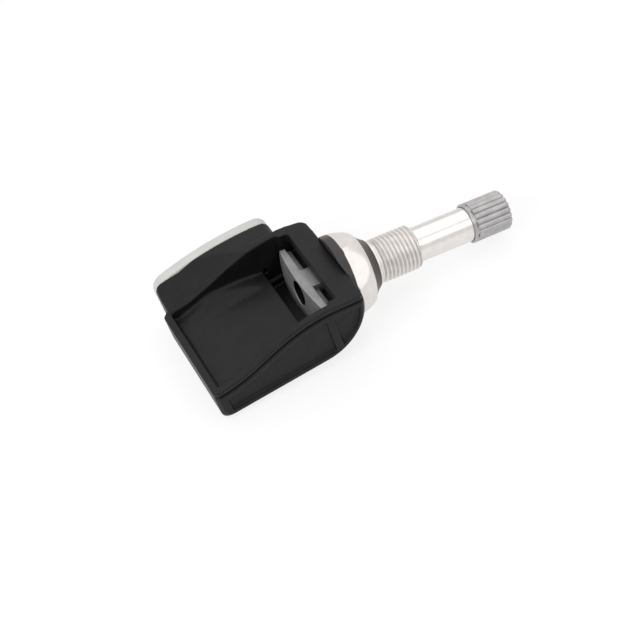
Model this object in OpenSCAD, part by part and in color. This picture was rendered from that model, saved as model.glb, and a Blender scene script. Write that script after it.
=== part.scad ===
// Tyre pressure sensor: moulded housing on a clamp-in valve stem.
// X runs along the stem towards its tip, Z points up out of the housing's valley.
// The origin is on the stem's axis at the inner end of its rim thread.

/* [Rim thread and seal] */
// Major radius of the rim thread
thread_r = 5.25; // [5:0.05:5.5]
// Length of the rim thread
thread_len = 9.6; // [8:0.1:14]
// Chamfer at the thread's outer end
thread_chamfer = 0.5; // [0.2:0.1:0.8]
// Length of the relief groove behind the thread
relief_len = 0.7; // [0.4:0.1:1]
// Radius of the relief groove
relief_r = 4.7; // [4.5:0.05:4.9]
// Length of the plain ring between groove and seal
ring_len = 0.6; // [0.3:0.1:1]
// Thickness of the rim seal
seal_len = 1.5; // [1:0.1:2.5]
// Outer radius of the rim seal
seal_r = 5.75; // [5.6:0.05:6.2]

/* [Hexagonal collar] */
// Size of the hexagon across its flats
hex_flats = 17.4; // [16:0.1:18]
// Length of the collar
hex_len = 5.9; // [5:0.1:7]
// Radius of the collar's domed end where it meets the seal
hex_nose_r = 6.6; // [6.2:0.1:7]
// Turn of the hexagon about the stem
hex_turn = 14; // [0:1:59]
// Outer radius of the saddle ring
saddle_r = 9.9; // [9:0.1:10.5]

/* [Tube and cap] */
// Radius of the smooth tube
tube_r = 4.13; // [4.05:0.01:4.2]
// Length from the rim thread to the tube's shoulder
tube_len = 14.6; // [12:0.1:20]
// Radius of the thread that takes the cap
cap_thread_r = 3.85; // [3.7:0.01:3.9]
// Length of the thread that takes the cap
cap_thread_len = 6.9; // [6:0.1:8]
// Radius of the cap over its ribs
cap_r = 4.75; // [4.65:0.05:5.2]
// Length of the cap
cap_len = 9.8; // [9.4:0.1:13]
// Number of ribs round the cap
cap_ribs = 20; // [12:1:28]
// Depth of the grooves between ribs
cap_groove = 0.25; // [0.1:0.05:0.3]
// Length of the plain collar at the cap's mouth
cap_collar = 1; // [0.6:0.1:2]

/* [Foot] */
// Radius of the foot's disc
foot_r = 12; // [11:0.1:12.2]
// Height of the foot's flat above the stem's axis
foot_flat = 3.5; // [3.2:0.1:3.8]
// Thickness of the foot
foot_len = 3.8; // [3:0.1:4.2]
// Height of the dome on the foot's back
foot_dome = 1; // [0.5:0.1:1.4]
// Radius of the round recess in the foot's back
foot_recess_r = 3; // [2.4:0.1:3.2]
// Depth of that recess
foot_recess = 2; // [1:0.1:2.5]
// Radius of the foot's stud
stud_r = 3.1; // [2.8:0.05:3.3]
// Radius of the air passage through foot and stem
air_r = 1.1; // [0.8:0.05:1.4]

/* [Housing] */
// Angle between the housing's base and the stem
tilt = 9.7; // [6:0.1:12]
// Height of the round end's centre above the stem's axis
centre_z = 3.5; // [3:0.1:4]
// Radius of the housing's round end
end_r = 12.2; // [12:0.1:12.6]
// Length from the round end's centre to the far end
tail_len = 26.4; // [26:0.1:30]
// Half of the valley's width
valley_half = 13.2; // [12.8:0.1:13.6]
// Thickness of a cheek
cheek = 1.8; // [1.6:0.1:2.4]
// Wall under and behind the valley
wall = 1.2; // [1:0.1:1.4]
// Depth of the rear box behind the valley
box_depth = 6.8; // [6.5:0.1:8]
// Thickness of the potting slab
slab = 3; // [2:0.1:3.5]
// Length of the rear box towards the stem
box_nose = 5; // [4.5:0.1:5.5]

/* [Battery and board] */
// Thickness of the battery
cell_len = 3.2; // [2.6:0.1:3.2]
// Thickness of the circuit board
board = 1; // [0.8:0.1:1.2]
// Height of the circuit board
board_high = 7; // [6.4:0.1:7.1]

/* [Hidden] */
$fn = 96;
eps = 0.01;
skin = 0.06;
fit = 0.03;

// Stations along the stem
ring_x = -relief_len;
seal_face_x = ring_x - ring_len;
collar_x = seal_face_x - seal_len;
hex_x = collar_x - hex_len;
ring_gap = 1.1;
pivot_x = hex_x - ring_gap - end_r;
foot_back_x = hex_x - 10.7;
foot_front_x = foot_back_x + foot_len;
stud_end_x = collar_x - 1;
neck_half = 3.1;
seat_gap = 1.3;
seat_z = 1.2;
shoulder_x = thread_len + tube_len;
tip_x = shoulder_x + cap_thread_len;
cap_mouth_x = shoulder_x - 0.7;
cap_end_x = cap_mouth_x + cap_len;

// Valve core stations and radii
core_thread_r = 2.6;
core_bore_r = 2.1;
core_plug_len = 4;
core_plug_x = tip_x - 1.6 - core_plug_len;
core_barrel_r = 1.55;
core_barrel_len = 7.5;
core_barrel_x = core_plug_x - core_barrel_len;
core_chamber_x = core_barrel_x - 4;
pin_r = 0.45;
plunger_r = 1.5;
plunger_len = 0.9;
plunger_seal_len = 0.6;
spring_r = 0.95;
spring_wire = 0.16;
spring_turns = 6;
spring_x = core_plug_x + 1;
spring_top_x = core_plug_x + core_plug_len;
liner_len = 0.8;

// Housing outline, in the housing's own frame about the round end's centre
corner_r = 2;
edge = 0.8;
rear_edge = 1.4;
pocket_depth = 0.7;
slab_edge = 0.6;
bridge_u = end_r - 8.6;
well_u = bridge_u - 5.1;
rim_start = [-tail_len, 8.9 - end_r];
rim_pull_a = [-tail_len * 0.53, 8.8 - end_r];
rim_pull_b = [-tail_len * 0.38, 3.2];
rim_top = [bridge_u + 0.4, 2.5];
rim_end = [end_r + 1, 1.2];
cheek_y = valley_half + cheek;
box_y = valley_half + box_depth;
floor_w = 6.6 - end_r;
ledge_run = 4.2;
// Top of the ledge along the rear wall: share of the way from the far end to the well, height over the floor
ledge_line = [[0.1, 0], [0.47, 2.3], [0.72, 1.5], [0.97, 0.1]];
pocket_r = end_r - wall;
cell_pocket_w = -end_r + wall + 0.15;
box_corner = 2.4;
box_arch_r = 70;
box_arch_u = -6.5;
box_top = 2.4;
box_left = -tail_len + 1.4;
box_steps = 28;

// Battery and board, between the far wall and the well in front of the bridge
cell_r = (tail_len + well_u - 4.9) / 2;
cell_u = cell_r + 2.8 - tail_len;
cell_y = 1.8;
cavity_y = valley_half + 2.1;
board_y = box_y - 2;
board_u = box_left + 2.4;
board_len = box_nose - 2.6 - board_u;
board_w = cell_pocket_w + 0.3;
chip_at = [21.7, 4.55];
chip_size = 4.4;
chip_high = 1.6;
controller_at = [16.7, 4.35];
crystal_at = [9, 4.95];
coil_at = [3.6, 5.55];
capacitor_at = [7.8, 0.95];
tab_w = 3;
tab_t = 0.2;
antenna_t = 0.5;
antenna_high = 0.9;
antenna_w = board_w + 5.55;

// Place on the board along u: parts spread in proportion to its length
function board_at(d) = board_u + d * board_len / 25;

// Height of the rear box's arched top, and how far a round corner drops at distance d from the end
function arch(u) = box_top - pow(u - box_arch_u, 2) / (2 * box_arch_r);
function corner_drop(d, c) = d < c ? c - sqrt(c * c - pow(c - max(d, 0), 2)) : 0;
// Stations along a side view, closer together at its ends
function stations(left, right) =
    [for (i = [0 : box_steps]) (left + right) / 2 - (right - left) / 2 * cos(180 * i / box_steps)];

function bezier(a, b, c, d, t) =
    a * pow(1 - t, 3) + 3 * b * pow(1 - t, 2) * t + 3 * c * (1 - t) * t * t + d * pow(t, 3);
rim_steps = 20;
rim_line = concat(
    [for (i = [0 : rim_steps]) bezier(rim_start, rim_pull_a, rim_pull_b, rim_top, i / rim_steps)],
    [rim_end]);

// A round bar or hole along X from x0 to x1
module bar(x0, x1, r, r2 = -1) {
    translate([x0, 0, 0])
        rotate([0, 90, 0])
            cylinder(h = x1 - x0, r1 = r, r2 = r2 < 0 ? r : r2);
}

// A turned shape from a half section of [x, r] points
module turned(section) {
    rotate([90, 0, 90])
        rotate_extrude()
            polygon([for (p = section) [p[1], p[0]]]);
}

// Places shapes given in the housing's frame
module housed() {
    translate([pivot_x, 0, centre_z])
        rotate([0, -tilt, 0])
            children();
}

// Extrudes a side view from y0 to y1
module across(y0, y1) {
    translate([0, y1, 0])
        rotate([90, 0, 0])
            linear_extrude(y1 - y0)
                children();
}

// A block by its corners
module block(low, high) {
    translate(low)
        cube(high - low);
}

// Side view of the cradle before its top is cut, drawn in by inset all round
module cradle_side(inset = 0) {
    r = end_r - inset;
    left = -tail_len + inset;
    c = corner_r;
    circle(r);
    translate([left + c, -r])
        square([tail_len - inset - c, r + 4 - inset]);
    translate([left, -r + c])
        square([c * 2, r + 4 - inset - c]);
    translate([left + c, -r + c])
        circle(c);
}

// Everything above the cheeks' rim
module above_rim(drop = 0) {
    polygon(concat([for (p = rim_line) p - [0, drop]],
                   [[end_r + 2, end_r + 5], [-tail_len - 5, end_r + 5],
                    [-tail_len - 5, rim_start[1] - drop]]));
}

// Outline of the box's closed face, drawn in by inset all round
function box_outline(inset = 0) =
    let (left = box_left + inset, right = box_nose - inset, c = box_corner, u = stations(left, right))
    concat([for (x = u) [x, arch(x) - inset - corner_drop(min(x - left, right - x), c)]],
           [for (i = [box_steps : -1 : 0])
               [u[i], -end_r + inset + corner_drop(min(u[i] - left, right - u[i]), c)]]);

// The same outline made of true arcs
module box_side() {
    c = box_corner;
    for (u = [box_left + c, box_nose - c]) {
        translate([u, arch(u) - c])
            circle(c);
        translate([u, -end_r + c])
            circle(c);
        translate([u - c, -end_r + c])
            square([2 * c, arch(u) + end_r - 2 * c]);
    }
    intersection() {
        translate([box_arch_u, box_top - box_arch_r])
            circle(box_arch_r, $fn = 360);
        translate([box_left + c, -end_r])
            square([box_nose - box_left - 2 * c, 2 * end_r]);
    }
}

// The space above a plane that passes through p and rises by su along u and sy along y
module above_plane(p, su, sy) {
    big = 60;
    turn_y = -atan(su);
    turn_x = atan(sy * cos(turn_y));
    translate(p)
        rotate([turn_x, turn_y, 0])
            translate([-big, -big, 0])
                cube(2 * big);
}

// Rear box, its top falling from the closed face's arch to the low rim of the valley
module rear_box() {
    difference() {
        across(valley_half + skin, box_y)
            box_side();
        intersection() {
            above_plane([-tail_len, valley_half, rim_start[1]], 0.07, 0.52);
            above_plane([-10.6, valley_half, 0], 0.3, 0.46);
        }
    }
}

// The open valley between the cheeks
module valley() {
    across(-valley_half, valley_half)
        polygon([[-tail_len + 1.8, floor_w + 0.6], [-tail_len + 2.6, floor_w], [well_u, floor_w],
                 [well_u, -end_r + 3], [bridge_u, -end_r + 3], [bridge_u + 1.6, 10], [-tail_len + 1.6, 10]]);
}

// Air gap and seat round the foot, square to the stem
module foot_pocket() {
    intersection() {
        translate([pivot_x, -foot_r - 0.4, centre_z])
            rotate([-90, 0, 0])
                cylinder(h = 2 * foot_r + 0.8, r = pocket_r);
        block([pivot_x + 0.4, -foot_r - 0.4, -20], [foot_front_x, foot_r + 0.4, foot_flat + 4]);
    }
    block([foot_front_x - 1, -foot_r - 0.4, seat_z],
          [foot_front_x + seat_gap, foot_r + 0.4, foot_flat + 0.9]);
}

// Shallow recess in the front cheek's outer face
module cheek_pocket(u0, u1, top_drop, low) {
    across(-cheek_y - 1, -cheek_y + pocket_depth)
        difference() {
            intersection() {
                translate([u0, low])
                    square([u1 - u0, 30]);
                union() {
                    circle(end_r - 1.5);
                    translate([-tail_len, -end_r])
                        square([tail_len, 2 * end_r]);
                }
            }
            above_rim(top_drop);
        }
}

module housing_shell() {
    difference() {
        union() {
            across(-cheek_y + edge, cheek_y - rear_edge)
                cradle_side();
            for (side = [[-cheek_y + edge, -cheek_y, edge], [cheek_y - rear_edge - eps, cheek_y - eps, rear_edge]])
                hull() {
                    across(side[0], side[0] + eps)
                        cradle_side($fn = 64);
                    across(side[1], side[1] + eps)
                        cradle_side(side[2], $fn = 64);
                }
        }
        across(-cheek_y - 1, cheek_y + 1)
            above_rim();
        // shadow groove just under the front rim
        across(-cheek_y - 1, -cheek_y + 0.7)
            difference() {
                above_rim(1.75);
                above_rim(1.05);
            }
        cheek_pocket(-tail_len + 2.6, 2.4, 3, -end_r + 1.8);
        cheek_pocket(4.4, end_r, 3, -end_r + 1.8);
        valley();
    }
}

module housing() {
    color("#1d1e20")
    difference() {
        housed()
            union() {
                difference() {
                    union() {
                        housing_shell();
                        rear_box();
                    }
                    // space for the board, open to the rear
                    across(cavity_y, box_y + 1)
                        box_cavity();
                    // drawer for the battery under the floor
                    block([cell_u - cell_r - 0.4, cell_y - cell_r - 0.4, cell_pocket_w],
                          [cell_u + cell_r + 0.4, box_y + 1, cell_pocket_w + cell_len + 0.45]);
                    // air port to the pressure chip
                    translate([board_at(chip_at[0]), valley_half - 1, board_w + chip_at[1]])
                        rotate([-90, 0, 0])
                            cylinder(h = cavity_y - valley_half + 2, r = 0.6);
                }
                // sloping ledge on the rear wall over the battery
                ledge();
            }
        foot_pocket();
        // slot for the stud through the bridge wall
        bar(foot_front_x - 1, hex_x, stud_r + 0.15);
    }
}

module box_cavity() {
    translate([board_u - 0.3, cell_pocket_w])
        square([board_len + 0.6, board_high + 0.6]);
}

// Fairing on the rear wall, falling from the ledge line to a straight toe on the floor
module ledge() {
    function at(p) = [-tail_len + (tail_len + well_u) * p[0], floor_w + p[1]];
    hull() {
        across(valley_half - eps, valley_half + 0.2)
            polygon(concat([for (p = ledge_line) at(p)],
                           [at(ledge_line[3]) - [0, 0.3], at(ledge_line[0]) - [0, 0.3]]));
        across(valley_half - ledge_run, valley_half - ledge_run + eps)
            polygon([at([0.14, eps]), at([0.93, eps]), at([0.93, -0.3]), at([0.14, -0.3])]);
    }
}

module potting() {
    color("#e4ebe0")
    housed() {
        across(box_y, box_y + slab - slab_edge)
            polygon(box_outline());
        hull() {
            across(box_y + slab - slab_edge - eps, box_y + slab - slab_edge)
                polygon(box_outline());
            across(box_y + slab - eps, box_y + slab)
                polygon(box_outline(slab_edge));
        }
    }
}

module circuit_board() {
    color("#1e6b3c")
    housed()
        block([board_u, board_y, board_w], [board_u + board_len, board_y + board, board_w + board_high]);
}

module battery_cell() {
    color("#c9cacb")
    housed()
        translate([cell_u, cell_y, cell_pocket_w + 0.2]) {
            cylinder(h = cell_len - 0.7, r = cell_r);
            translate([0, 0, cell_len - 0.7 - eps])
                cylinder(h = 0.7 + eps, r = cell_r - 1.4);
        }
}

module battery_tab_plus() {
    color("#d8d9d6")
    housed() {
        block([cell_u - 5, cell_y + 2, cell_pocket_w], [cell_u - 5 + tab_w, board_y, cell_pocket_w + tab_t]);
        block([cell_u - 5, board_y - tab_t, cell_pocket_w], [cell_u - 5 + tab_w, board_y, cell_pocket_w + 2]);
    }
}

module battery_tab_minus() {
    top = cell_pocket_w + 0.2 + cell_len;
    color("#d8d9d6")
    housed() {
        block([cell_u + 2, cell_y + 2, top], [cell_u + 2 + tab_w, board_y, top + tab_t]);
        block([cell_u + 2, board_y - tab_t, top], [cell_u + 2 + tab_w, board_y, top + 1.4]);
    }
}

// A part soldered on the board's front face, by its centre from the board's corner, size and height
module on_board(at, size, high) {
    w = board_w + at[1];
    block([board_at(at[0] - size[0] / 2), board_y - high, w - size[1] / 2],
          [board_at(at[0] + size[0] / 2), board_y, w + size[1] / 2]);
}

module pressure_chip() {
    color("#b9bbbd")
    housed()
        difference() {
            on_board(chip_at, [chip_size, chip_size], chip_high);
            translate([board_at(chip_at[0]), board_y - chip_high - 1, board_w + chip_at[1]])
                rotate([-90, 0, 0])
                    cylinder(h = 1.8, r = 0.5);
        }
}

module port_seal() {
    color("#2b2b2b")
    housed()
        translate([board_at(chip_at[0]), cavity_y, board_w + chip_at[1]])
            rotate([-90, 0, 0])
                difference() {
                    cylinder(h = board_y - chip_high - cavity_y, r = 1.6);
                    translate([0, 0, -1])
                        cylinder(h = 10, r = 0.7);
                }
}

module controller_chip() {
    color("#26272a")
    housed()
        on_board(controller_at, [4.4, 5], 1);
}

module crystal() {
    color("#c8c4b6")
    housed()
        on_board(crystal_at, [3.2, 2.5], 0.8);
}

module coil_core() {
    color("#3a3638")
    housed()
        union() {
            on_board(coil_at, [5, 1.2], 1.6);
            for (end = [-2.8, 2.8])
                on_board(coil_at + [end, 0], [0.8, 2.4], 2.2);
        }
}

module coil_winding() {
    color("#a8642c")
    housed()
        difference() {
            on_board(coil_at, [4.7, 2.2], 2.1);
            on_board(coil_at, [5.2, 1.24], 1.64);
        }
}

// Bent wire loop standing on the board's rear face
module antenna() {
    color("#c98b4a")
    housed()
        difference() {
            block([board_u + 1, board_y + board, antenna_w],
                  [board_u + board_len - 1, board_y + board + antenna_high, antenna_w + antenna_t]);
            block([board_u + 1 + antenna_t, board_y + board - 1, antenna_w - 1],
                  [board_u + board_len - 1 - antenna_t, board_y + board + antenna_high - antenna_t,
                    antenna_w + 2]);
        }
}

module capacitors() {
    color("#b79a6a")
    housed()
        for (i = [0 : 4])
            on_board(capacitor_at + [1.7 * i, 0], [1, 0.6], 0.6);
}

module foot() {
    dome_r = (foot_r * foot_r + foot_dome * foot_dome) / (2 * foot_dome);
    color("#b9bcbd")
    difference() {
        union() {
            intersection() {
                bar(foot_back_x, foot_front_x, foot_r);
                translate([foot_back_x + dome_r, 0, 0])
                    rotate([0, 90, 0])
                        sphere(dome_r, $fn = 360);
                translate([pivot_x, 0, centre_z])
                    rotate([90, 0, 0])
                        cylinder(h = 4 * foot_r, r = pocket_r - 0.1, center = true);
                block([foot_back_x - 1, -foot_r, -foot_r], [foot_front_x + 1, foot_r, foot_flat]);
            }
            bar(foot_front_x - 1, stud_end_x, stud_r);
            // square neck that crosses the gap to the bridge wall
            block([foot_front_x - 1, -neck_half, seat_z], [foot_front_x + seat_gap, neck_half, foot_flat]);
        }
        bar(foot_back_x - 1, foot_back_x + foot_recess, foot_recess_r);
        bar(foot_back_x, stud_end_x + 1, air_r);
    }
}

module saddle_ring() {
    color("#151516")
    difference() {
        bar(hex_x - 2 * ring_gap, hex_x, saddle_r);
        bar(hex_x - 3, hex_x + 1, stud_r + 0.15);
        translate([pivot_x, 0, centre_z])
            rotate([90, 0, 0])
                cylinder(h = 40, r = end_r, center = true);
    }
}

// Hexagonal collar, rim thread, smooth tube and cap thread, turned in one piece
module stem() {
    color("#d3d5d6")
    difference() {
        union() {
            intersection() {
                translate([hex_x, 0, 0])
                    rotate([0, 90, 0])
                        rotate([0, 0, hex_turn])
                            cylinder(h = hex_len, r = hex_flats / 2 / cos(30), $fn = 6);
                turned([[hex_x, 0], [hex_x, hex_flats / 2 + 0.9], [hex_x + 0.5, hex_flats / 2 + 1.35],
                        [hex_x + 4.5, hex_flats / 2 - 0.1], [hex_x + 5.5, hex_nose_r + 0.8],
                        [collar_x, hex_nose_r], [collar_x, 0]]);
            }
            turned([[hex_x + 1, 0], [hex_x + 1, relief_r], [seal_face_x, relief_r],
                    [seal_face_x, thread_r + 0.05], [ring_x, thread_r + 0.05], [ring_x, relief_r],
                    [0, relief_r], [0, thread_r], [thread_len - thread_chamfer, thread_r],
                    [thread_len, thread_r - thread_chamfer], [thread_len, tube_r], [shoulder_x, tube_r],
                    [shoulder_x, cap_thread_r - 0.4], [shoulder_x + 0.6, cap_thread_r - 0.4],
                    [shoulder_x + 0.9, cap_thread_r], [tip_x - 0.4, cap_thread_r],
                    [tip_x, cap_thread_r - 0.4], [tip_x, 0]]);
        }
        bar(hex_x - 1, stud_end_x + 0.1, stud_r + fit);
        bar(hex_x, tip_x, air_r);
        bar(core_chamber_x, tip_x, core_bore_r);
        bar(core_plug_x, tip_x + 1, core_thread_r);
    }
}

module rim_seal() {
    color("#241c19")
    turned([[collar_x, relief_r + fit], [collar_x, seal_r - 0.1], [collar_x + 0.3, seal_r],
            [seal_face_x - 0.3, seal_r], [seal_face_x, seal_r - 0.3], [seal_face_x, relief_r + fit]]);
}

module core_body() {
    color("#c8a860")
    difference() {
        union() {
            bar(core_plug_x, core_plug_x + core_plug_len, core_thread_r - fit);
            bar(core_barrel_x, core_plug_x + 1, core_barrel_r);
        }
        bar(core_barrel_x - 1, core_plug_x + core_plug_len + 1, pin_r + 0.05);
        bar(core_plug_x + 1, core_plug_x + core_plug_len + 1, spring_r + spring_wire + 0.15);
        bar(core_barrel_x - 1, core_plug_x - 1.5, 0.9);
    }
}

module core_seal() {
    color("#8c2a22")
    turned([[core_plug_x - 2, core_barrel_r + 0.02], [core_plug_x - 2, core_bore_r - 0.15],
            [core_plug_x - 0.1, core_bore_r - 0.03], [core_plug_x - 0.1, core_barrel_r + 0.02]]);
}

module core_pin() {
    color("#cfcfca")
    union() {
        bar(core_barrel_x - plunger_seal_len - plunger_len, tip_x - 0.3, pin_r);
        bar(core_barrel_x - plunger_seal_len - plunger_len, core_barrel_x - plunger_seal_len, plunger_r);
        bar(spring_top_x, spring_top_x + 0.3, spring_r + spring_wire);
    }
}

module plunger_seal() {
    color("#1a1a1a")
    difference() {
        bar(core_barrel_x - plunger_seal_len, core_barrel_x - 0.02, plunger_r);
        bar(core_barrel_x - 2, core_barrel_x + 1, pin_r);
    }
}

// Coil spring round the valve pin, swept along its helix
module core_spring() {
    sides = 6;
    steps = 16;
    count = spring_turns * steps;
    x0 = spring_x + spring_wire;
    run = spring_top_x - spring_x - 2 * spring_wire;
    points = [for (i = [0 : count]) for (j = [0 : sides - 1])
        let (a = 360 * i / steps, b = 360 * j / sides, r = spring_r + spring_wire * cos(b))
            [x0 + run * i / count + spring_wire * sin(b), r * cos(a), r * sin(a)]];
    walls = [for (i = [0 : count - 1]) for (j = [0 : sides - 1])
        [i * sides + j, i * sides + (j + 1) % sides,
         (i + 1) * sides + (j + 1) % sides, (i + 1) * sides + j]];
    first = [for (j = [sides - 1 : -1 : 0]) j];
    last = [for (j = [0 : sides - 1]) count * sides + j];
    color("#b0b3b5")
    polyhedron(points, concat(walls, [first], [last]));
}

module cap_shell() {
    color("#8d8f92")
    difference() {
        turned([[cap_mouth_x, 0], [cap_mouth_x, cap_r - 0.15], [cap_mouth_x + 0.15, cap_r],
                [cap_end_x - 0.7, cap_r], [cap_end_x - 0.2, cap_r - 0.25],
                [cap_end_x, cap_r - 0.8], [cap_end_x, 0]]);
        for (i = [0 : cap_ribs - 1])
            rotate([360 * i / cap_ribs, 0, 0])
                translate([0, 0, cap_r + 0.3])
                    bar(cap_mouth_x + cap_collar, cap_end_x + 1, 0.3 + cap_groove, 0.3 + cap_groove);
        bar(cap_mouth_x - 1, shoulder_x + 0.2, tube_r + 0.1);
        bar(cap_mouth_x, tip_x + liner_len, cap_thread_r + 0.08);
        bar(tip_x, tip_x + liner_len + 0.5, 1.8);
    }
}

module cap_liner() {
    color("#3a3a3a")
    difference() {
        bar(tip_x + 0.02, tip_x + liner_len, cap_thread_r - 0.05);
        bar(tip_x - 1, tip_x + liner_len + 1, 1.8);
    }
}

housing();
potting();
circuit_board();
battery_cell();
battery_tab_plus();
battery_tab_minus();
pressure_chip();
port_seal();
controller_chip();
crystal();
coil_core();
coil_winding();
antenna();
capacitors();
foot();
saddle_ring();
stem();
rim_seal();
core_body();
core_seal();
core_pin();
plunger_seal();
core_spring();
cap_shell();
cap_liner();
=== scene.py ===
"""Studio scene of a tyre pressure sensor: moulded housing on a clamp-in valve stem with its dust cap."""

import math

import bmesh
import bpy
from mathutils import Matrix, Vector


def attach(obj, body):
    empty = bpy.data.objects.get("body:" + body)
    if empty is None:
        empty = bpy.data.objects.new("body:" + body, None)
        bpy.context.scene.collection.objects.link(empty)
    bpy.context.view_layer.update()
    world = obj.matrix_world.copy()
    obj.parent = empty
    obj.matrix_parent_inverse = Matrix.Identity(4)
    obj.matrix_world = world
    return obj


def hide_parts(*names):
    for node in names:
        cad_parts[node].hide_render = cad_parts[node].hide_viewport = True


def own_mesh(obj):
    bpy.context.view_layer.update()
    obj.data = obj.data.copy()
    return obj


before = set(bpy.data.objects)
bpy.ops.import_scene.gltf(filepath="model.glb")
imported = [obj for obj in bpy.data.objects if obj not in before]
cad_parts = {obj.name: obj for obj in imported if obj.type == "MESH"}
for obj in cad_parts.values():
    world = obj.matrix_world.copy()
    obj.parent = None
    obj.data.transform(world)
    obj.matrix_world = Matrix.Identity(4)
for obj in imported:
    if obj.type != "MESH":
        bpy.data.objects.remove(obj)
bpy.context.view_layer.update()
MM = 0.001

# The studio: camera at the photograph's place, a white floor that the housing's far edge and the
# saddle ring rest on, and three soft lamps: overhead, left and front.
camera_right = Vector((0.892, -0.441, -0.101)).normalized()
camera_back = Vector((-0.254, -0.673, 0.695))
camera_back = (camera_back - camera_right * camera_back.dot(camera_right)).normalized()
camera_up = camera_back.cross(camera_right)
camera_data = bpy.data.cameras.new("studio_camera")
camera_data.sensor_width = 36.0
picture_px, focal_px = 640, 1678.5
camera_data.lens = focal_px / picture_px * camera_data.sensor_width
camera_data.clip_start = 0.01
camera_data.clip_end = 20.0
camera = bpy.data.objects.new("studio_camera", camera_data)
camera.matrix_world = Matrix((
    (camera_right.x, camera_up.x, camera_back.x, -0.11248),
    (camera_right.y, camera_up.y, camera_back.y, -0.2575),
    (camera_right.z, camera_up.z, camera_back.z, 0.2554),
    (0, 0, 0, 1)))
bpy.context.scene.collection.objects.link(camera)
bpy.context.scene.camera = camera
bpy.context.scene.view_settings.view_transform = "Standard"


def paint(code):
    """An sRGB hex colour such as #1d1e20 as linear RGBA."""
    channels = [int(code[i:i + 2], 16) / 255 for i in (1, 3, 5)]
    return [c / 12.92 if c <= 0.04045 else ((c + 0.055) / 1.055) ** 2.4 for c in channels] + [1.0]


def add(tree, kind, inputs=None, **settings):
    """Adds a node: settings are its properties, and inputs are values or other nodes' sockets."""
    made = tree.nodes.new(kind)
    for name, value in settings.items():
        setattr(made, name, value)
    for key, value in (inputs or {}).items():
        if isinstance(value, bpy.types.NodeSocket):
            tree.links.new(value, made.inputs[key])
        else:
            made.inputs[key].default_value = value
    return made


def new_material(name):
    """An empty node material, with its tree and its Principled shader already on the output."""
    made = bpy.data.materials.new(name)
    made.use_nodes = True
    tree = made.node_tree
    tree.nodes.clear()
    shader = add(tree, "ShaderNodeBsdfPrincipled")
    add(tree, "ShaderNodeOutputMaterial", {"Surface": shader.outputs[0]})
    return made, tree, shader


floor_half = 3.0
floor_rise = 0.0833
floor_x, floor_z = -0.046, -0.01315
floor_mesh = bpy.data.meshes.new("studio_floor")
floor_mesh.from_pydata(
    [(floor_x + x, y, floor_z + x * floor_rise) for x, y in (
        (-floor_half, -floor_half), (floor_half, -floor_half),
        (floor_half, floor_half), (-floor_half, floor_half))],
    [], [(0, 1, 2, 3)])
floor = bpy.data.objects.new("studio_floor", floor_mesh)
bpy.context.scene.collection.objects.link(floor)
floor_white, floor_tree, floor_shader = new_material("floor_white")
floor_shader.inputs["Base Color"].default_value = paint("#e4e4e4")
floor_shader.inputs["Roughness"].default_value = 0.9
floor_rays = add(floor_tree, "ShaderNodeLightPath")
seen = add(floor_tree, "ShaderNodeMath", {0: floor_rays.outputs["Is Camera Ray"],
                                          1: floor_rays.outputs["Is Glossy Ray"]}, operation="MAXIMUM")
seen = add(floor_tree, "ShaderNodeMath", {0: seen.outputs[0],
                                          1: floor_rays.outputs["Is Transmission Ray"]}, operation="MAXIMUM")
soft_shadow = add(floor_tree, "ShaderNodeBsdfDiffuse", {"Color": paint("#8c8c8c")})
glow = add(floor_tree, "ShaderNodeEmission", {"Color": (1, 1, 1, 1), "Strength": 0.8})
paper = add(floor_tree, "ShaderNodeAddShader", {0: soft_shadow.outputs[0], 1: glow.outputs[0]})
floor_mix = add(floor_tree, "ShaderNodeMixShader", {0: seen.outputs[0], 1: floor_shader.outputs[0],
                                                    2: paper.outputs[0]})
# the floor is clear from below, so that the underside can be looked at
floor_side = add(floor_tree, "ShaderNodeNewGeometry")
clear = add(floor_tree, "ShaderNodeBsdfTransparent")
one_way = add(floor_tree, "ShaderNodeMixShader", {
    0: floor_side.outputs["Backfacing"], 1: floor_mix.outputs[0], 2: clear.outputs[0]})
floor_out = next(n for n in floor_tree.nodes if n.type == "OUTPUT_MATERIAL")
floor_tree.links.new(one_way.outputs[0], floor_out.inputs["Surface"])
floor_mesh.materials.append(floor_white)

studio_world = bpy.data.worlds.new("studio_air")
studio_world.use_nodes = True
world_tree = studio_world.node_tree
world_tree.nodes.clear()
world_rays = add(world_tree, "ShaderNodeLightPath")
dim_air = add(world_tree, "ShaderNodeBackground", {"Color": paint("#ededed"), "Strength": 0.5})
white_air = add(world_tree, "ShaderNodeBackground", {"Color": (1, 1, 1, 1), "Strength": 1.0})
mirror_air = add(world_tree, "ShaderNodeBackground", {"Color": paint("#f2f1f0"), "Strength": 0.95})
air = add(world_tree, "ShaderNodeMixShader", {0: world_rays.outputs["Is Glossy Ray"], 1: dim_air.outputs[0],
                                              2: mirror_air.outputs[0]})
air = add(world_tree, "ShaderNodeMixShader", {0: world_rays.outputs["Is Camera Ray"], 1: air.outputs[0],
                                              2: white_air.outputs[0]})
add(world_tree, "ShaderNodeOutputWorld", {"Surface": air.outputs[0]})
bpy.context.scene.world = studio_world

for name, place, size, power in (
        ("lamp_overhead", (-0.02, 0.2, 0.6), 0.9, 1.6),
        ("lamp_left", (-0.6, -0.25, 0.35), 0.4, 1.6),
        ("lamp_front", (0.24, -0.54, 0.55), 0.36, 0.56)):
    lamp_data = bpy.data.lights.new(name, "AREA")
    lamp_data.shape = "SQUARE"
    lamp_data.size = size
    lamp_data.energy = power
    lamp = bpy.data.objects.new(name, lamp_data)
    lamp.location = place
    lamp.rotation_mode = "QUATERNION"
    lamp.rotation_quaternion = (Vector(place) - Vector((-0.02, 0, 0))).to_track_quat("Z", "Y")
    bpy.context.scene.collection.objects.link(lamp)

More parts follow.
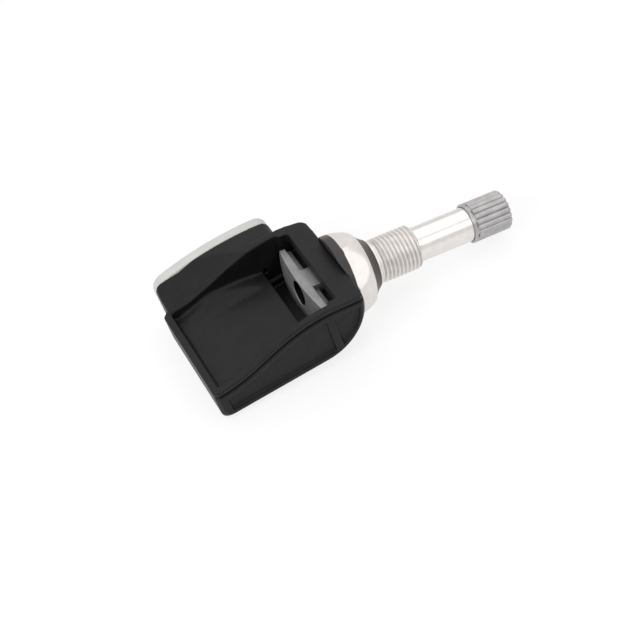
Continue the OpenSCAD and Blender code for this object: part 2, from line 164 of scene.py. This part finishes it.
# Housing: glass-filled nylon, moulded in one piece. Its grain is a fine spark-eroded texture, its
# edges are softly rounded as the mould leaves them, and it has a low sheen.


def speckle(tree, size_mm, detail=2.0):
    """Noise in object coordinates whose spots are size_mm wide."""
    place = add(tree, "ShaderNodeTexCoord")
    return add(tree, "ShaderNodeTexNoise", {
        "Vector": place.outputs["Object"], "Scale": 1 / (size_mm * MM), "Detail": detail, "Roughness": 0.6})


def shaded(tree, fac, dark, light, low=0.35, high=0.65):
    """Colours between dark and light by a noise factor."""
    ramp = add(tree, "ShaderNodeValToRGB", {"Fac": fac})
    ramp.color_ramp.elements[0].position = low
    ramp.color_ramp.elements[0].color = paint(dark)
    ramp.color_ramp.elements[1].position = high
    ramp.color_ramp.elements[1].color = paint(light)
    return ramp.outputs[0]


def spread(tree, fac, low, high):
    """A roughness between low and high by a noise factor."""
    return add(tree, "ShaderNodeMapRange", {
        "Value": fac, "From Min": 0.3, "From Max": 0.7, "To Min": low, "To Max": high}).outputs[0]


def raised(tree, shader, height, strength, depth_mm):
    """Bump of depth_mm from a height."""
    bump = add(tree, "ShaderNodeBump", {"Height": height, "Strength": strength, "Distance": depth_mm * MM})
    tree.links.new(bump.outputs[0], shader.inputs["Normal"])


nylon, nylon_tree, nylon_shader = new_material("glass_filled_nylon")
nylon_cloud = speckle(nylon_tree, 5.0, 3.0)
# the real grain is finer than a pixel of the photo, and is drawn about one pixel wide to show at all
nylon_grain = speckle(nylon_tree, 0.22, 3.0)
nylon_tree.links.new(shaded(nylon_tree, nylon_cloud.outputs[0], "#111012", "#191819"),
                     nylon_shader.inputs["Base Color"])
nylon_tree.links.new(spread(nylon_tree, nylon_grain.outputs[0], 0.38, 0.54), nylon_shader.inputs["Roughness"])
nylon_shader.inputs["IOR"].default_value = 1.53
nylon_shader.inputs["Specular IOR Level"].default_value = 0.22
raised(nylon_tree, nylon_shader, nylon_grain.outputs[0], 0.35, 0.03)


def keep(obj, material, body, nodes):
    """Gives a finished piece its material and body, and hides the CAD nodes that it replaces."""
    obj.data.materials.clear()
    obj.data.materials.append(material)
    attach(obj, body)
    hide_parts(*nodes)


def applied(obj):
    """Turns an object's modifiers into its plain mesh."""
    graph = bpy.context.evaluated_depsgraph_get()
    mesh = bpy.data.meshes.new_from_object(obj.evaluated_get(graph))
    obj.modifiers.clear()
    obj.data = mesh


def solid_copy(node, name):
    """A copy of a CAD node with its triangles joined up."""
    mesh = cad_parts[node].data.copy()
    shape = bmesh.new()
    shape.from_mesh(mesh)
    bmesh.ops.remove_doubles(shape, verts=shape.verts, dist=1e-7)
    shape.to_mesh(mesh)
    shape.free()
    obj = bpy.data.objects.new(name, mesh)
    bpy.context.scene.collection.objects.link(obj)
    return obj


def softened(obj, voxel_mm, rounds, share=1.0, blended=None, blend_rounds=0):
    """Rounds a piece's edges over, as a mould or casting leaves them, and keeps that share of its faces.

    blended(point) is the share of blend_rounds more that a place gets."""
    remesh = obj.modifiers.new("even_mesh", "REMESH")
    remesh.mode = "VOXEL"
    remesh.voxel_size = voxel_mm * MM
    remesh.adaptivity = 0.0
    smooth = obj.modifiers.new("round_edges", "SMOOTH")
    smooth.factor = 0.5
    smooth.iterations = rounds
    if blended:
        applied(obj)
        blend = obj.vertex_groups.new(name="blend")
        for vertex in obj.data.vertices:
            share_here = blended(vertex.co)
            if share_here > 0:
                blend.add([vertex.index], share_here, "REPLACE")
        fairing = obj.modifiers.new("blend_faces", "SMOOTH")
        fairing.vertex_group = "blend"
        fairing.factor = 0.5
        fairing.iterations = blend_rounds
    if share < 1.0:
        thin = obj.modifiers.new("fewer_faces", "DECIMATE")
        thin.ratio = share
    applied(obj)
    obj.data.shade_smooth()
    return obj


housing_tilt = math.radians(9.7)
pivot = Vector((-22.0, 0.0, 3.5)) * MM


def ramp(value, start_mm, length_mm):
    """Rises from 0 to 1 over a length from a start."""
    return min(max((value / MM - start_mm) / length_mm, 0.0), 1.0)


def to_blend(point):
    """How much to smooth: the ledge at the foot of the valley's rear wall, and the end by the washer."""
    along_u = (point.x - pivot.x) * math.cos(housing_tilt) + (point.z - pivot.z) * math.sin(housing_tilt)
    up_w = (point.z - pivot.z) * math.cos(housing_tilt) - (point.x - pivot.x) * math.sin(housing_tilt)
    in_length = ramp(along_u, -24.6, 2.0) * ramp(-along_u, 2.0, 1.5)
    on_ledge = in_length * ramp(point.y, 7.8, 1.0) * ramp(-point.y, -13.4, 0.3) * ramp(-up_w, 2.9, 0.6)
    if up_w < -6.0 * MM:
        on_ledge = 0.0
    by_ring = ramp(along_u, 7.5, 2.5) * ramp(point.y, 10.0, 2.0)
    return max(on_ledge, by_ring)


housing = softened(solid_copy("housing", "housing_shell"), 0.18, 9, 0.34, to_blend, 90)
keep(housing, nylon, "sensor", ["housing"])

# Potting: two-part resin poured into the electronics box and cured. It is milky and lets a little
# light in at its edges, with a smooth surface that set against a mould.
resin, resin_tree, resin_shader = new_material("milky_cast_resin")
resin_cloud = speckle(resin_tree, 7.0, 2.0)
resin_tree.links.new(shaded(resin_tree, resin_cloud.outputs[0], "#d9dad6", "#dfe0dc"),
                     resin_shader.inputs["Base Color"])
resin_ripple = speckle(resin_tree, 1.6, 1.0)
resin_shader.inputs["Roughness"].default_value = 0.3
resin_shader.inputs["IOR"].default_value = 1.5
resin_shader.inputs["Subsurface Weight"].default_value = 0.35
resin_shader.inputs["Subsurface Radius"].default_value = (1.0, 1.02, 0.96)
resin_shader.inputs["Subsurface Scale"].default_value = 0.0015
raised(resin_tree, resin_shader, resin_ripple.outputs[0], 0.15, 0.02)
potting = solid_copy("potting", "potting_slab")
slab_shape = bmesh.new()
slab_shape.from_mesh(potting.data)
bmesh.ops.dissolve_limit(slab_shape, angle_limit=math.radians(2), verts=slab_shape.verts,
                         edges=slab_shape.edges)
slab_shape.to_mesh(potting.data)
slab_shape.free()
round_over = potting.modifiers.new("round_over", "BEVEL")
round_over.width = 0.3 * MM
round_over.segments = 3
round_over.angle_limit = math.radians(25)
applied(potting)
potting.data.shade_smooth()
potting.data.set_sharp_from_angle(angle=math.radians(50))
keep(potting, resin, "sensor", ["potting"])

# Foot: zinc die casting with a satin nickel finish, drawn into the housing's window by the stem.
# The flat top and the domed back show the same fine cast grain.


def from_axis(tree):
    """The place along the stem's axis and the distance from it, in object coordinates."""
    place = add(tree, "ShaderNodeTexCoord")
    xyz = add(tree, "ShaderNodeSeparateXYZ", {0: place.outputs["Object"]})
    across = add(tree, "ShaderNodeCombineXYZ", {"Y": xyz.outputs[1], "Z": xyz.outputs[2]})
    distance = add(tree, "ShaderNodeVectorMath", {0: across.outputs[0]}, operation="LENGTH")
    return xyz.outputs[0], distance.outputs["Value"]


def maths(tree, operation, first, second):
    """One sum on two values or sockets."""
    return add(tree, "ShaderNodeMath", {0: first, 1: second}, operation=operation).outputs[0]


def cut_box(obj, low, high):
    """Cuts a box, given in mm, out of a piece."""
    low, high = Vector(low) * MM, Vector(high) * MM
    bpy.ops.mesh.primitive_cube_add(size=1.0, location=(low + high) / 2)
    cutter = bpy.context.object
    cutter.scale = high - low
    bpy.context.view_layer.update()
    cut = obj.modifiers.new("cut", "BOOLEAN")
    cut.operation = "DIFFERENCE"
    cut.object = cutter
    cut.solver = "EXACT"
    applied(obj)
    bpy.data.objects.remove(cutter)


zinc, zinc_tree, zinc_shader = new_material("satin_cast_zinc")
zinc_grain = speckle(zinc_tree, 0.18, 3.0)
zinc_cloud = speckle(zinc_tree, 2.5, 2.0)
# painted shade: the air hole is coloured near-black, standing in for the shade inside it
zinc_x, zinc_radius = from_axis(zinc_tree)
hole_r_mm, hole_mouth_mm = 3.08, -19.12
painted_hole_shade = maths(zinc_tree, "MULTIPLY", maths(zinc_tree, "LESS_THAN", zinc_radius, hole_r_mm * MM),
                maths(zinc_tree, "GREATER_THAN", zinc_x, hole_mouth_mm * MM))
# the painted shade's near-black goes in the hole, the cast zinc's colour everywhere else
zinc_color = add(zinc_tree, "ShaderNodeMix", {
    "Factor": painted_hole_shade, 6: shaded(zinc_tree, zinc_cloud.outputs[0], "#8e8e90", "#9c9c9b"),
    7: paint("#242324")}, data_type="RGBA")
zinc_tree.links.new(zinc_color.outputs[2], zinc_shader.inputs["Base Color"])
zinc_tree.links.new(spread(zinc_tree, zinc_grain.outputs[0], 0.45, 0.6), zinc_shader.inputs["Roughness"])
zinc_metal = add(zinc_tree, "ShaderNodeMix", {"Factor": painted_hole_shade, 2: 0.6, 3: 1.0}, data_type="FLOAT")
zinc_tree.links.new(zinc_metal.outputs[0], zinc_shader.inputs["Metallic"])
raised(zinc_tree, zinc_shader, zinc_grain.outputs[0], 0.4, 0.02)
foot = solid_copy("foot", "foot_casting")
neck_half, past_the_rim = 3.1, 13
notch_x, notch_z = (-17.0, -15.5), (2.0, 4.0)
for notch_y in ((-past_the_rim, -neck_half), (neck_half, past_the_rim)):
    cut_box(foot, (notch_x[0], notch_y[0], notch_z[0]), (notch_x[1], notch_y[1], notch_z[1]))
softened(foot, 0.12, 9, 0.8)
keep(foot, zinc, "sensor", ["foot"])

# Saddle ring: black nylon washer, hollowed on one side to sit on the housing's round end.
ring_nylon, ring_tree, ring_shader = new_material("black_nylon_washer")
ring_grain = speckle(ring_tree, 0.3, 2.0)
ring_tree.links.new(shaded(ring_tree, ring_grain.outputs[0], "#2c2929", "#383434"),
                    ring_shader.inputs["Base Color"])
ring_shader.inputs["Roughness"].default_value = 0.42
raised(ring_tree, ring_shader, ring_grain.outputs[0], 0.25, 0.02)
saddle = softened(solid_copy("saddle_ring", "saddle_washer"), 0.14, 3)
keep(saddle, ring_nylon, "sensor", ["saddle_ring"])

# Stem: one bar of aluminium, turned bright and clear anodised. The hexagon comes from the bar and
# is domed by the lathe; the rim thread is cut at 1 mm pitch and the cap's thread at 0.794 mm.
aluminium, alu_tree, alu_shader = new_material("turned_anodised_aluminium")
alu_x, alu_radius = from_axis(alu_tree)
tool_mark_mm = 0.12
tool_marks = add(alu_tree, "ShaderNodeTexNoise", {
    "W": maths(alu_tree, "MULTIPLY", alu_x, 1 / (tool_mark_mm * MM)), "Scale": 1.0, "Detail": 2.0},
    noise_dimensions="1D")
alu_cloud = speckle(alu_tree, 1.8, 3.0)
# painted shade: the base colour is darker at the thread roots, where the grooves shade each other, and full at
# the crests
root_r, crest_r, thread_low_x, thread_high_x, tube_low_x = 4.84, 5.16, 0.2, 9.3, 9.6
root_shade_ramp = add(alu_tree, "ShaderNodeMapRange", {
    "Value": alu_radius, "From Min": root_r * MM, "From Max": crest_r * MM, "To Min": 0.76, "To Max": 1.0})
off_thread = maths(alu_tree, "MAXIMUM", maths(alu_tree, "GREATER_THAN", alu_x, thread_high_x * MM),
                   maths(alu_tree, "LESS_THAN", alu_x, thread_low_x * MM))
painted_root_shade = maths(alu_tree, "MAXIMUM", root_shade_ramp.outputs[0], off_thread)
# the painted root shade scales the aluminium's colour on the thread only
alu_color = add(alu_tree, "ShaderNodeVectorMath", {
    0: shaded(alu_tree, alu_cloud.outputs[0], "#e2dedb", "#e8e4e1"), "Scale": painted_root_shade}, operation="SCALE")
alu_tree.links.new(alu_color.outputs[0], alu_shader.inputs["Base Color"])
# the smooth tube is brighter than the threads and the hexagon, which the cutter left matt
on_tube = maths(alu_tree, "GREATER_THAN", alu_x, tube_low_x * MM)
cut_rough, tube_rough = 0.46, 0.26
alu_rough = add(alu_tree, "ShaderNodeMix", {"Factor": on_tube, 2: cut_rough, 3: tube_rough}, data_type="FLOAT")
alu_tree.links.new(alu_rough.outputs[0], alu_shader.inputs["Roughness"])
alu_shader.inputs["Metallic"].default_value = 1.0
raised(alu_tree, alu_shader, tool_marks.outputs[0], 0.12, 0.008)


def turned(name, outline, around, start_deg, form=None):
    """A lathe piece about X from a closed outline of (x, r) in mm. form(x, r, angle) may change r."""
    mesh = bpy.data.meshes.new(name)
    points = []
    for x, r in outline:
        for i in range(around):
            angle = math.radians(start_deg + 360 * i / around)
            radius = form(x, r, angle) if form else r
            points.append((x * MM, radius * math.cos(angle) * MM, radius * math.sin(angle) * MM))
    faces = []
    count = len(outline)
    for k in range(count):
        a, b = k * around, (k + 1) % count * around
        for i in range(around):
            j = (i + 1) % around
            faces.append((a + i, a + j, b + j, b + i))
    mesh.from_pydata(points, [], faces)
    shape = bmesh.new()
    shape.from_mesh(mesh)
    bmesh.ops.remove_doubles(shape, verts=shape.verts, dist=2e-6)
    bmesh.ops.recalc_face_normals(shape, faces=shape.faces)
    shape.to_mesh(mesh)
    shape.free()
    mesh.shade_smooth()
    mesh.set_sharp_from_angle(angle=math.radians(38))
    obj = bpy.data.objects.new(name, mesh)
    bpy.context.scene.collection.objects.link(obj)
    return obj


def along(line, step):
    """The points of a line of (x, r), with more put in so that none are further apart than step."""
    made = [line[0]]
    for (x0, r0), (x1, r1) in zip(line, line[1:]):
        parts = max(1, math.ceil(math.hypot(x1 - x0, r1 - r0) / step))
        made += [(x0 + (x1 - x0) * i / parts, r0 + (r1 - r0) * i / parts) for i in range(1, parts + 1)]
    return made


hex_half = 8.7
hex_turn = 14
hex_corner = 10.03
soften = 0.3
hex_end_x = -2.75
groove_half_width = 0.38  # as a share of the pitch
threads = ((0.0, 9.6, 5.25, 1.0, 0.42), (24.9, 30.9, 3.85, 0.794, 0.3))  # from x, to x, radius, pitch, depth


def softly_smaller(a, b):
    """The smaller of two radii, with the edge between them rounded."""
    near = max(soften - abs(a - b), 0) / soften
    return min(a, b) - near * near * soften / 4


def stem_form(x, r, angle):
    """Cuts the hexagon's flats and the two threads into the stem's turned outline."""
    if x < hex_end_x and r > 5:
        off = (math.degrees(angle) - (hex_turn - 90)) % 60 - 30
        flat = hex_half / math.cos(math.radians(off))
        return softly_smaller(softly_smaller(flat, hex_corner), r)
    for x0, x1, major, pitch, depth in threads:
        if x0 <= x <= x1 and r > 3.2:
            phase = (x / pitch - angle / (2 * math.pi)) % 1
            groove = min(max(0, 1 - abs(phase - 0.5) / groove_half_width) * 1.25, 1)
            fade = min(1, (x - x0) / (pitch * 0.6), (x1 - x) / (pitch * 0.4))
            return min(r, major - depth * groove * fade) if fade > 0 else r
    return r


dome = [(-8.7, 9.55), (-8.55, 9.85), (-8.25, 10.05), (-7.4, 9.82), (-6.4, 9.5), (-5.4, 9.15), (-4.6, 8.82),
        (-4.1, 8.5), (-3.85, 8.25), (-3.75, 8.1)]
stem_outline = (
    along([(-8.7, 3.14), (-8.7, 9.55)], 1.6)[:-1] + along(dome, 0.14)
    + [(-3.7, 7.9), (-3.7, 4.7), (-1.35, 4.7), (-1.3, 4.75), (-1.3, 5.22), (-1.22, 5.3), (-0.8, 5.3),
       (-0.7, 5.2), (-0.7, 4.75), (-0.62, 4.7), (-0.05, 4.7)]
    + along([(0.0, 4.8), (0.3, 5.25), (9.1, 5.25), (9.6, 4.75)], 0.085)
    # the points close to the tube's ends keep its smooth shading straight
    + [(9.62, 4.2), (9.72, 4.13), (9.76, 4.13), (24.0, 4.13), (24.05, 4.13), (24.2, 3.98), (24.2, 3.5),
       (24.25, 3.45), (24.8, 3.45)]
    + along([(24.85, 3.55), (25.1, 3.85), (30.7, 3.85), (31.1, 3.45)], 0.085)
    + [(31.1, 2.6), (25.5, 2.6), (25.5, 2.1), (14.0, 2.1), (14.0, 1.1), (-3.7, 1.1), (-3.7, 3.14)])
stem = turned("stem_turned", stem_outline, 180, hex_turn, stem_form)
keep(stem, aluminium, "sensor", ["stem"])

# Rim seal: moulded rubber washer in the stem's relief, pressed between the hexagon and the rim. Its
# brown-black lip spreads over the collar's shoulder and tapers towards the rim.
rubber, rubber_tree, rubber_shader = new_material("dark_rim_rubber")
rubber_cloud = speckle(rubber_tree, 0.5, 2.0)
rubber_tree.links.new(shaded(rubber_tree, rubber_cloud.outputs[0], "#403935", "#50473f"),
                      rubber_shader.inputs["Base Color"])
rubber_shader.inputs["Roughness"].default_value = 0.45
raised(rubber_tree, rubber_shader, rubber_cloud.outputs[0], 0.2, 0.02)
seal_outline = [(-3.69, 4.73), (-3.69, 7.78), (-3.6, 7.82), (-3.3, 7.5), (-2.9, 7.0), (-2.4, 6.5),
                (-1.9, 6.12), (-1.55, 5.9), (-1.38, 5.76), (-1.31, 5.55), (-1.31, 4.73)]
seal = turned("rim_seal_ring", seal_outline, 120, 0)
keep(seal, rubber, "sensor", ["rim_seal"])

# Dust cap: grey moulded plastic with a metallic flake, screwed on over the tube's end. Twenty ribs
# run from a plain collar at its mouth to the chamfered end.
cap_plastic, cap_tree, cap_shader = new_material("grey_flake_plastic")
# the real flakes are finer still than this, which is about the least that shows
cap_flake = speckle(cap_tree, 0.15, 2.0)
cap_cloud = speckle(cap_tree, 2.2, 2.0)
cap_tree.links.new(shaded(cap_tree, cap_cloud.outputs[0], "#acaaaa", "#bcbbbb"),
                   cap_shader.inputs["Base Color"])
cap_tree.links.new(spread(cap_tree, cap_flake.outputs[0], 0.24, 0.42), cap_shader.inputs["Roughness"])
cap_shader.inputs["Metallic"].default_value = 0.65
raised(cap_tree, cap_shader, cap_flake.outputs[0], 0.3, 0.012)


def notched(x, r, angle):
    """Cuts ten short slots into the edge of the cap's collar."""
    slot_every_deg, slot_deg, slot_floor_r = 36, 13, 4.42
    in_slot = (math.degrees(angle) % slot_every_deg) < slot_deg
    return slot_floor_r if in_slot and 24.02 < x < 24.42 and r > 4.6 else r


cap_outline = [(23.5, 4.25), (23.5, 4.6), (23.56, 4.7), (23.68, 4.75), (24.0, 4.75), (24.04, 4.75),
               (24.4, 4.75), (24.45, 4.72), (24.52, 4.33), (32.6, 4.32), (32.95, 4.28), (33.2, 4.1),
               (33.3, 3.75), (33.3, 2.5), (33.22, 2.3), (33.2, 0.02), (32.4, 0.02), (32.4, 1.8),
               (31.9, 1.8), (31.9, 3.93), (24.4, 3.93), (24.4, 4.23)]
cap = turned("cap_body", cap_outline, 240, 0, notched)
cap.data.materials.append(cap_plastic)
rib_tree = bpy.data.node_groups.new("cap_ribs_round_cap", "GeometryNodeTree")
for label, kind in (
        ("Geometry", "NodeSocketGeometry"), ("Ribs", "NodeSocketInt"), ("Rib radius", "NodeSocketFloat"),
        ("Pitch radius", "NodeSocketFloat"), ("Rib length", "NodeSocketFloat"),
        ("Chamfer", "NodeSocketFloat"), ("Start", "NodeSocketFloat"), ("Material", "NodeSocketMaterial")):
    rib_tree.interface.new_socket(label, in_out="INPUT", socket_type=kind)
rib_tree.interface.new_socket("Geometry", in_out="OUTPUT", socket_type="NodeSocketGeometry")
rib_in = add(rib_tree, "NodeGroupInput").outputs
straight = add(rib_tree, "GeometryNodeMeshCone", {
    "Vertices": 20, "Radius Top": rib_in["Rib radius"], "Radius Bottom": rib_in["Rib radius"],
    "Depth": rib_in["Rib length"]})
tip_radius = add(rib_tree, "ShaderNodeMath", {0: rib_in["Rib radius"], 1: 0.6}, operation="MULTIPLY")
rounded_tip = add(rib_tree, "GeometryNodeMeshCone", {
    "Vertices": 20, "Radius Top": tip_radius.outputs[0], "Radius Bottom": rib_in["Rib radius"],
    "Depth": rib_in["Chamfer"]})
tip_lift = add(rib_tree, "ShaderNodeCombineXYZ", {"Z": rib_in["Rib length"]})
tip_placed = add(rib_tree, "GeometryNodeTransform", {"Geometry": rounded_tip.outputs[0],
                                                     "Translation": tip_lift.outputs[0]})
rib = add(rib_tree, "GeometryNodeJoinGeometry")
rib_tree.links.new(straight.outputs[0], rib.inputs[0])
rib_tree.links.new(tip_placed.outputs[0], rib.inputs[0])
rib_out = add(rib_tree, "ShaderNodeCombineXYZ", {"X": rib_in["Pitch radius"]})
rib_placed = add(rib_tree, "GeometryNodeTransform", {"Geometry": rib.outputs[0],
                                                     "Translation": rib_out.outputs[0]})
spokes = add(rib_tree, "GeometryNodePoints", {"Count": rib_in["Ribs"]})
turn_each = add(rib_tree, "ShaderNodeMath", {0: 2 * math.pi, 1: rib_in["Ribs"]}, operation="DIVIDE")
number = add(rib_tree, "GeometryNodeInputIndex")
turn = add(rib_tree, "ShaderNodeMath", {0: number.outputs[0], 1: turn_each.outputs[0]}, operation="MULTIPLY")
spin = add(rib_tree, "ShaderNodeCombineXYZ", {"Z": turn.outputs[0]})
ring_of_ribs = add(rib_tree, "GeometryNodeInstanceOnPoints", {
    "Points": spokes.outputs[0], "Instance": rib_placed.outputs[0], "Rotation": spin.outputs[0]})
real_ribs = add(rib_tree, "GeometryNodeRealizeInstances", {0: ring_of_ribs.outputs[0]})
start_x = add(rib_tree, "ShaderNodeCombineXYZ", {"X": rib_in["Start"]})
laid_ribs = add(rib_tree, "GeometryNodeTransform", {
    "Geometry": real_ribs.outputs[0], "Translation": start_x.outputs[0], "Rotation": (0, math.pi / 2, 0)})
whole_cap = add(rib_tree, "GeometryNodeJoinGeometry")
rib_tree.links.new(laid_ribs.outputs[0], whole_cap.inputs[0])
rib_tree.links.new(rib_in["Geometry"], whole_cap.inputs[0])
painted = add(rib_tree, "GeometryNodeSetMaterial", {"Geometry": whole_cap.outputs[0],
                                                    "Material": rib_in["Material"]})
add(rib_tree, "NodeGroupOutput", {"Geometry": painted.outputs[0]})
ribs = cap.modifiers.new("cap_ribs", "NODES")
ribs.node_group = rib_tree
rib_values = {"Ribs": 20, "Rib radius": 0.74 * MM, "Pitch radius": 4.01 * MM, "Rib length": 8.3 * MM,
              "Chamfer": 0.4 * MM, "Start": 24.5 * MM, "Material": cap_plastic}
for item in rib_tree.interface.items_tree:
    if item.in_out == "INPUT" and item.name in rib_values:
        ribs[item.identifier] = rib_values[item.name]
applied(cap)
cap.data.shade_smooth()
cap.data.set_sharp_from_angle(angle=math.radians(38))
keep(cap, cap_plastic, "cap", ["cap_shell"])

# Parts inside the box and the stem: they keep their CAD shapes, closed in by the resin and the cap,
# and each gets the finish of its real material.
inner_finishes = {
    "circuit_board": ("green_solder_mask", "#12502b", "#1b6638", 0.0, 0.35, 0.6),
    "battery_cell": ("nickel_plated_steel", "#b5b5b4", "#cbcbca", 1.0, 0.28, 0.8),
    "battery_tab_plus": ("nickel_strip", "#bcbcb6", "#d0d0ca", 1.0, 0.3, 0.5),
    "battery_tab_minus": ("nickel_strip_2", "#bcbcb6", "#d0d0ca", 1.0, 0.3, 0.5),
    "pressure_chip": ("stamped_chip_lid", "#a8aaac", "#bfc1c3", 1.0, 0.32, 0.4),
    "port_seal": ("black_silicone", "#202020", "#2b2b2b", 0.0, 0.55, 0.3),
    "controller_chip": ("moulded_epoxy", "#1e1e20", "#29292b", 0.0, 0.5, 0.3),
    "crystal": ("gold_flashed_lid", "#c3bda6", "#d4cfba", 1.0, 0.3, 0.5),
    "coil_core": ("sintered_ferrite", "#2d2a2b", "#3c383a", 0.0, 0.6, 0.2),
    "coil_winding": ("enamelled_copper", "#8a431c", "#a95a28", 1.0, 0.35, 0.1),
    "antenna": ("plated_bronze", "#b98748", "#cd9c5c", 1.0, 0.3, 0.4),
    "capacitors": ("fired_ceramic", "#a58961", "#bd9f74", 0.0, 0.5, 0.3),
    "core_body": ("turned_brass", "#bd9a4c", "#d3b265", 1.0, 0.28, 0.4),
    "core_seal": ("red_gasket", "#7c211b", "#963029", 0.0, 0.5, 0.3),
    "core_pin": ("drawn_steel", "#bdbdb9", "#d0d0cc", 1.0, 0.25, 0.3),
    "plunger_seal": ("black_core_rubber", "#191919", "#232323", 0.0, 0.55, 0.3),
    "core_spring": ("spring_wire", "#9fa2a4", "#b8bbbd", 1.0, 0.3, 0.2),
    "cap_liner": ("liner_rubber", "#2b2b2b", "#383838", 0.0, 0.55, 0.3),
}
for node, (finish_name, dark, light, metal, rough, spot_mm) in inner_finishes.items():
    finish, finish_tree, finish_shader = new_material(finish_name)
    spots = speckle(finish_tree, spot_mm, 2.0)
    finish_tree.links.new(shaded(finish_tree, spots.outputs[0], dark, light),
                          finish_shader.inputs["Base Color"])
    finish_tree.links.new(spread(finish_tree, spots.outputs[0], rough * 0.85, rough * 1.2),
                          finish_shader.inputs["Roughness"])
    finish_shader.inputs["Metallic"].default_value = metal
    raised(finish_tree, finish_shader, spots.outputs[0], 0.15, 0.01)
    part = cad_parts[node]
    part.data.materials.clear()
    part.data.materials.append(finish)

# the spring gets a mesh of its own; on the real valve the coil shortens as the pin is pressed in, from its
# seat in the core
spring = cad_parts["core_spring"]
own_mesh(spring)
